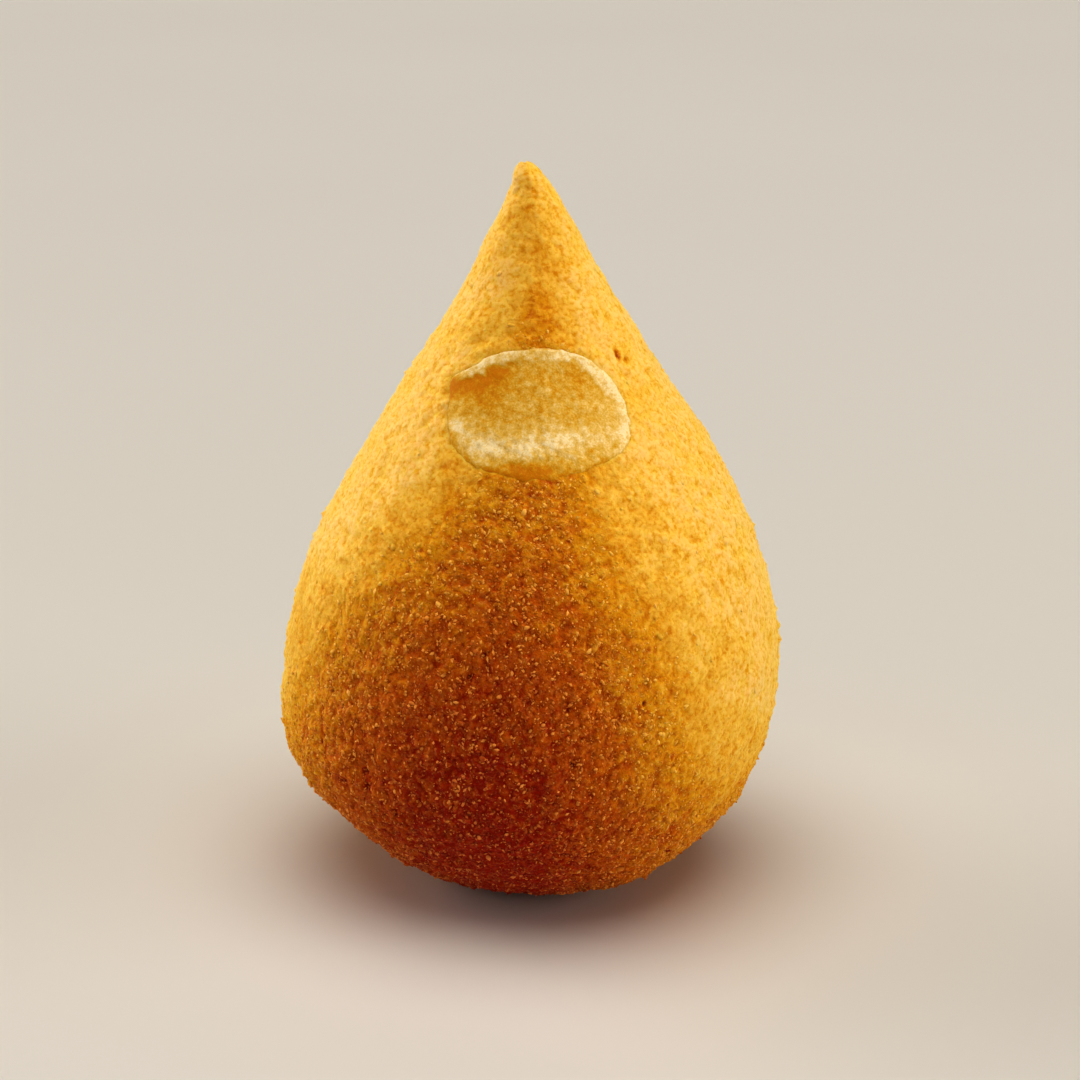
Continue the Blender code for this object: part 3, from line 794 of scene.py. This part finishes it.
def label_mesh():
    """The wafer's face as rings about its middle, its edge rolled under, and its hidden back."""
    body = BVHTree.FromPolygons([Vector(p) for p in skin_base], [list(f.vertices) for f in skin.polygons])
    axis = Vector((cone_middle[0], cone_middle[1], 0.0))
    ring = skin_base[abs(skin_base[:, 2] - LABEL_HEIGHT) < MM] - cone_middle
    cone_radius = np.hypot(*ring[:, :2].T).mean()
    well_outside = cad_box[1].x * 2.0  # where the rays start that find the skin

    def on_cone(across, along):
        height = LABEL_HEIGHT + along * math.cos(LABEL_SLOPE)
        turn = LABEL_TURN + across / (cone_radius - along * math.sin(LABEL_SLOPE))
        way = Vector((math.cos(turn), math.sin(turn), 0.0))
        hit = body.ray_cast(axis + way * well_outside + Vector((0.0, 0.0, height)), -way)[0]
        return hit, (way + Vector((0.0, 0.0, math.tan(LABEL_SLOPE)))).normalized()

    def spot(ring, sector):
        direction = 2.0 * math.pi * sector / LABEL_SECTORS
        way_out = ring / LABEL_RINGS
        reach = label_edge(direction) * way_out * SHEET_WIDENING
        across, along = reach * math.cos(direction), reach * math.sin(direction)
        hit, outward = on_cone(across, along)
        inside = label_edge(direction) * (1.0 - way_out)
        dry = dryness(across, along, inside)
        rolled = ramp(way_out, LABEL_ROUND, 1.0) * LABEL_ROLL
        height = LABEL_LIFT + sheet_relief(across, along, inside, dry) - rolled
        return hit + outward * height, hit - outward * LABEL_ROOT, dry

    middle = spot(0, 0)
    face_spots = [spot(ring, sector) for ring in range(1, LABEL_RINGS + 1) for sector in range(LABEL_SECTORS)]
    points = [middle[0]] + [face_spot[0] for face_spot in face_spots]
    points += [edge_spot[1] for edge_spot in face_spots[-LABEL_SECTORS:]]
    dry_parts = [middle[2]] + [face_spot[2] for face_spot in face_spots]
    dry_parts += dry_parts[-LABEL_SECTORS:]
    around = np.arange(LABEL_SECTORS)
    after = (around + 1) % LABEL_SECTORS
    faces = [(0, 1 + i, 1 + j) for i, j in zip(around, after)]
    for ring in range(LABEL_RINGS):
        inner, outer = 1 + ring * LABEL_SECTORS, 1 + (ring + 1) * LABEL_SECTORS
        faces += [(inner + i, outer + i, outer + j, inner + j) for i, j in zip(around, after)]
    last = 1 + LABEL_RINGS * LABEL_SECTORS
    faces.append(tuple(int(last + i) for i in around[::-1]))
    mesh = bpy.data.meshes.new("wafer_sheet")
    mesh.from_pydata(points, [], [tuple(int(corner) for corner in face) for face in faces])
    mesh.shade_smooth()
    keep_values(mesh, "dry", dry_parts)
    return mesh


# The wafer's colours, from soaked clear to dry
WAFER_COLOURS = (
    (0.0, linear(213, 135, 2)),
    (0.3, linear(221, 163, 28)),
    (0.55, linear(230, 187, 84)),
    (0.8, linear(242, 208, 134)),
    (1.0, linear(252, 228, 178)),
)
MOTTLE_SIZE, MOTTLE_TONE = 0.55 * MM, 0.17
FINE_MOTTLE_SIZE, FINE_MOTTLE_TONE = 0.22 * MM, 0.15
WAFER_GRAIN, WAFER_GRAIN_DEPTH = 0.24 * MM, 0.08 * MM


def label_finish():
    """Edible wafer: cream where dry, clear amber where the oil went through, mottled in between."""
    finish = Finish("edible_wafer")
    mottle = finish.mottle(finish.speckle(MOTTLE_SIZE, 3.0, 0.6), -MOTTLE_TONE, MOTTLE_TONE)
    fine = finish.mottle(finish.speckle(FINE_MOTTLE_SIZE, 2.0, 0.6), -FINE_MOTTLE_TONE, FINE_MOTTLE_TONE)
    dry = finish.sum(finish.sum(finish.read("dry"), mottle), fine)
    finish.set(Base_Color=colour_steps(finish, dry, WAFER_COLOURS))
    finish.set(Roughness=finish.spread(dry, 0.1, 0.9, 0.5, 0.62), Specular_IOR_Level=0.08)
    finish.set(Subsurface_Weight=0.15, Subsurface_Radius=(1.0, 0.8, 0.6), Subsurface_Scale=0.4 * MM)
    finish.bump(finish.speckle(WAFER_GRAIN, 3.0, 0.6), WAFER_GRAIN_DEPTH)
    return finish.material


piece_of(label_mesh(), "wafer_sheet", label_finish(), "wafer", "wafer_label")


# The floor: a plain pale board, only there to stand the food on for the picture.
# It is wide enough to fill the view from every side.
FLOOR_SIDE = 12.0
FLOOR_PATCHES = 0.4
bpy.ops.mesh.primitive_plane_add(size=FLOOR_SIDE)
floor = bpy.context.object
floor.name = "pale_floor"
board = Finish("pale_board")
pale = board.mix(board.speckle(FLOOR_PATCHES), linear(218, 211, 200), linear(224, 218, 208))
board.set(Base_Color=pale, Roughness=0.55)
floor.data.materials.append(board.material)


# The light: large soft lights low on both sides and high above, two weak ones in front, and a weak fill
# all round. They give it the bright flanks and the deeper front of the photograph.
def soft_light(name, turn, rise, spread, power):
    """A far soft light at a turn from +X and a rise over the floor, in degrees."""
    light = bpy.data.lights.new(name, "SUN")
    light.angle = math.radians(spread)
    light.energy = power
    lamp = bpy.data.objects.new(name, light)
    flat = math.cos(math.radians(rise))
    way = Vector((
        math.cos(math.radians(turn)) * flat,
        math.sin(math.radians(turn)) * flat,
        math.sin(math.radians(rise)),
    ))
    lamp.location = way
    lamp.rotation_euler = way.to_track_quat("Z", "Y").to_euler()
    bpy.context.scene.collection.objects.link(lamp)


soft_light("right_light", turn=-11.0, rise=3.0, spread=50.0, power=2.5)
soft_light("left_light", turn=155.0, rise=8.0, spread=50.0, power=2.4)
soft_light("high_light", turn=-90.0, rise=82.0, spread=60.0, power=2.4)
soft_light("front_light", turn=-80.0, rise=8.0, spread=60.0, power=0.22)
soft_light("left_front_light", turn=-140.0, rise=3.0, spread=60.0, power=0.28)
FILL_COLOUR, FILL_POWER = (1.0, 0.93, 0.86, 1.0), 0.09
sky = bpy.data.worlds.new("room")
sky.use_nodes = True
sky.node_tree.nodes["Background"].inputs["Color"].default_value = FILL_COLOUR
sky.node_tree.nodes["Background"].inputs["Strength"].default_value = FILL_POWER
bpy.context.scene.world = sky
bpy.context.scene.view_settings.view_transform = "Standard"
bpy.context.scene.view_settings.gamma = 0.75


# The camera: a portrait lens a little above the food, where the photograph was taken from.
# Its turn, height and distance put the outline where the photograph has it.
CAMERA_RISE = math.radians(18.0)
CAMERA_DISTANCE = 302.8 * MM
AIM = Vector((1.21 * MM, 0.16 * MM, 40.98 * MM))
camera = bpy.data.objects.new("camera", bpy.data.cameras.new("camera"))
camera.data.lens = 85.0
camera.data.sensor_width = 36.0
camera.data.clip_start = 10.0 * MM
back = Vector((0.0, -math.cos(CAMERA_RISE), math.sin(CAMERA_RISE)))
camera.location = AIM + back * CAMERA_DISTANCE
camera.rotation_euler = (-back).to_track_quat("-Z", "Y").to_euler()
bpy.context.scene.collection.objects.link(camera)
bpy.context.scene.camera = camera
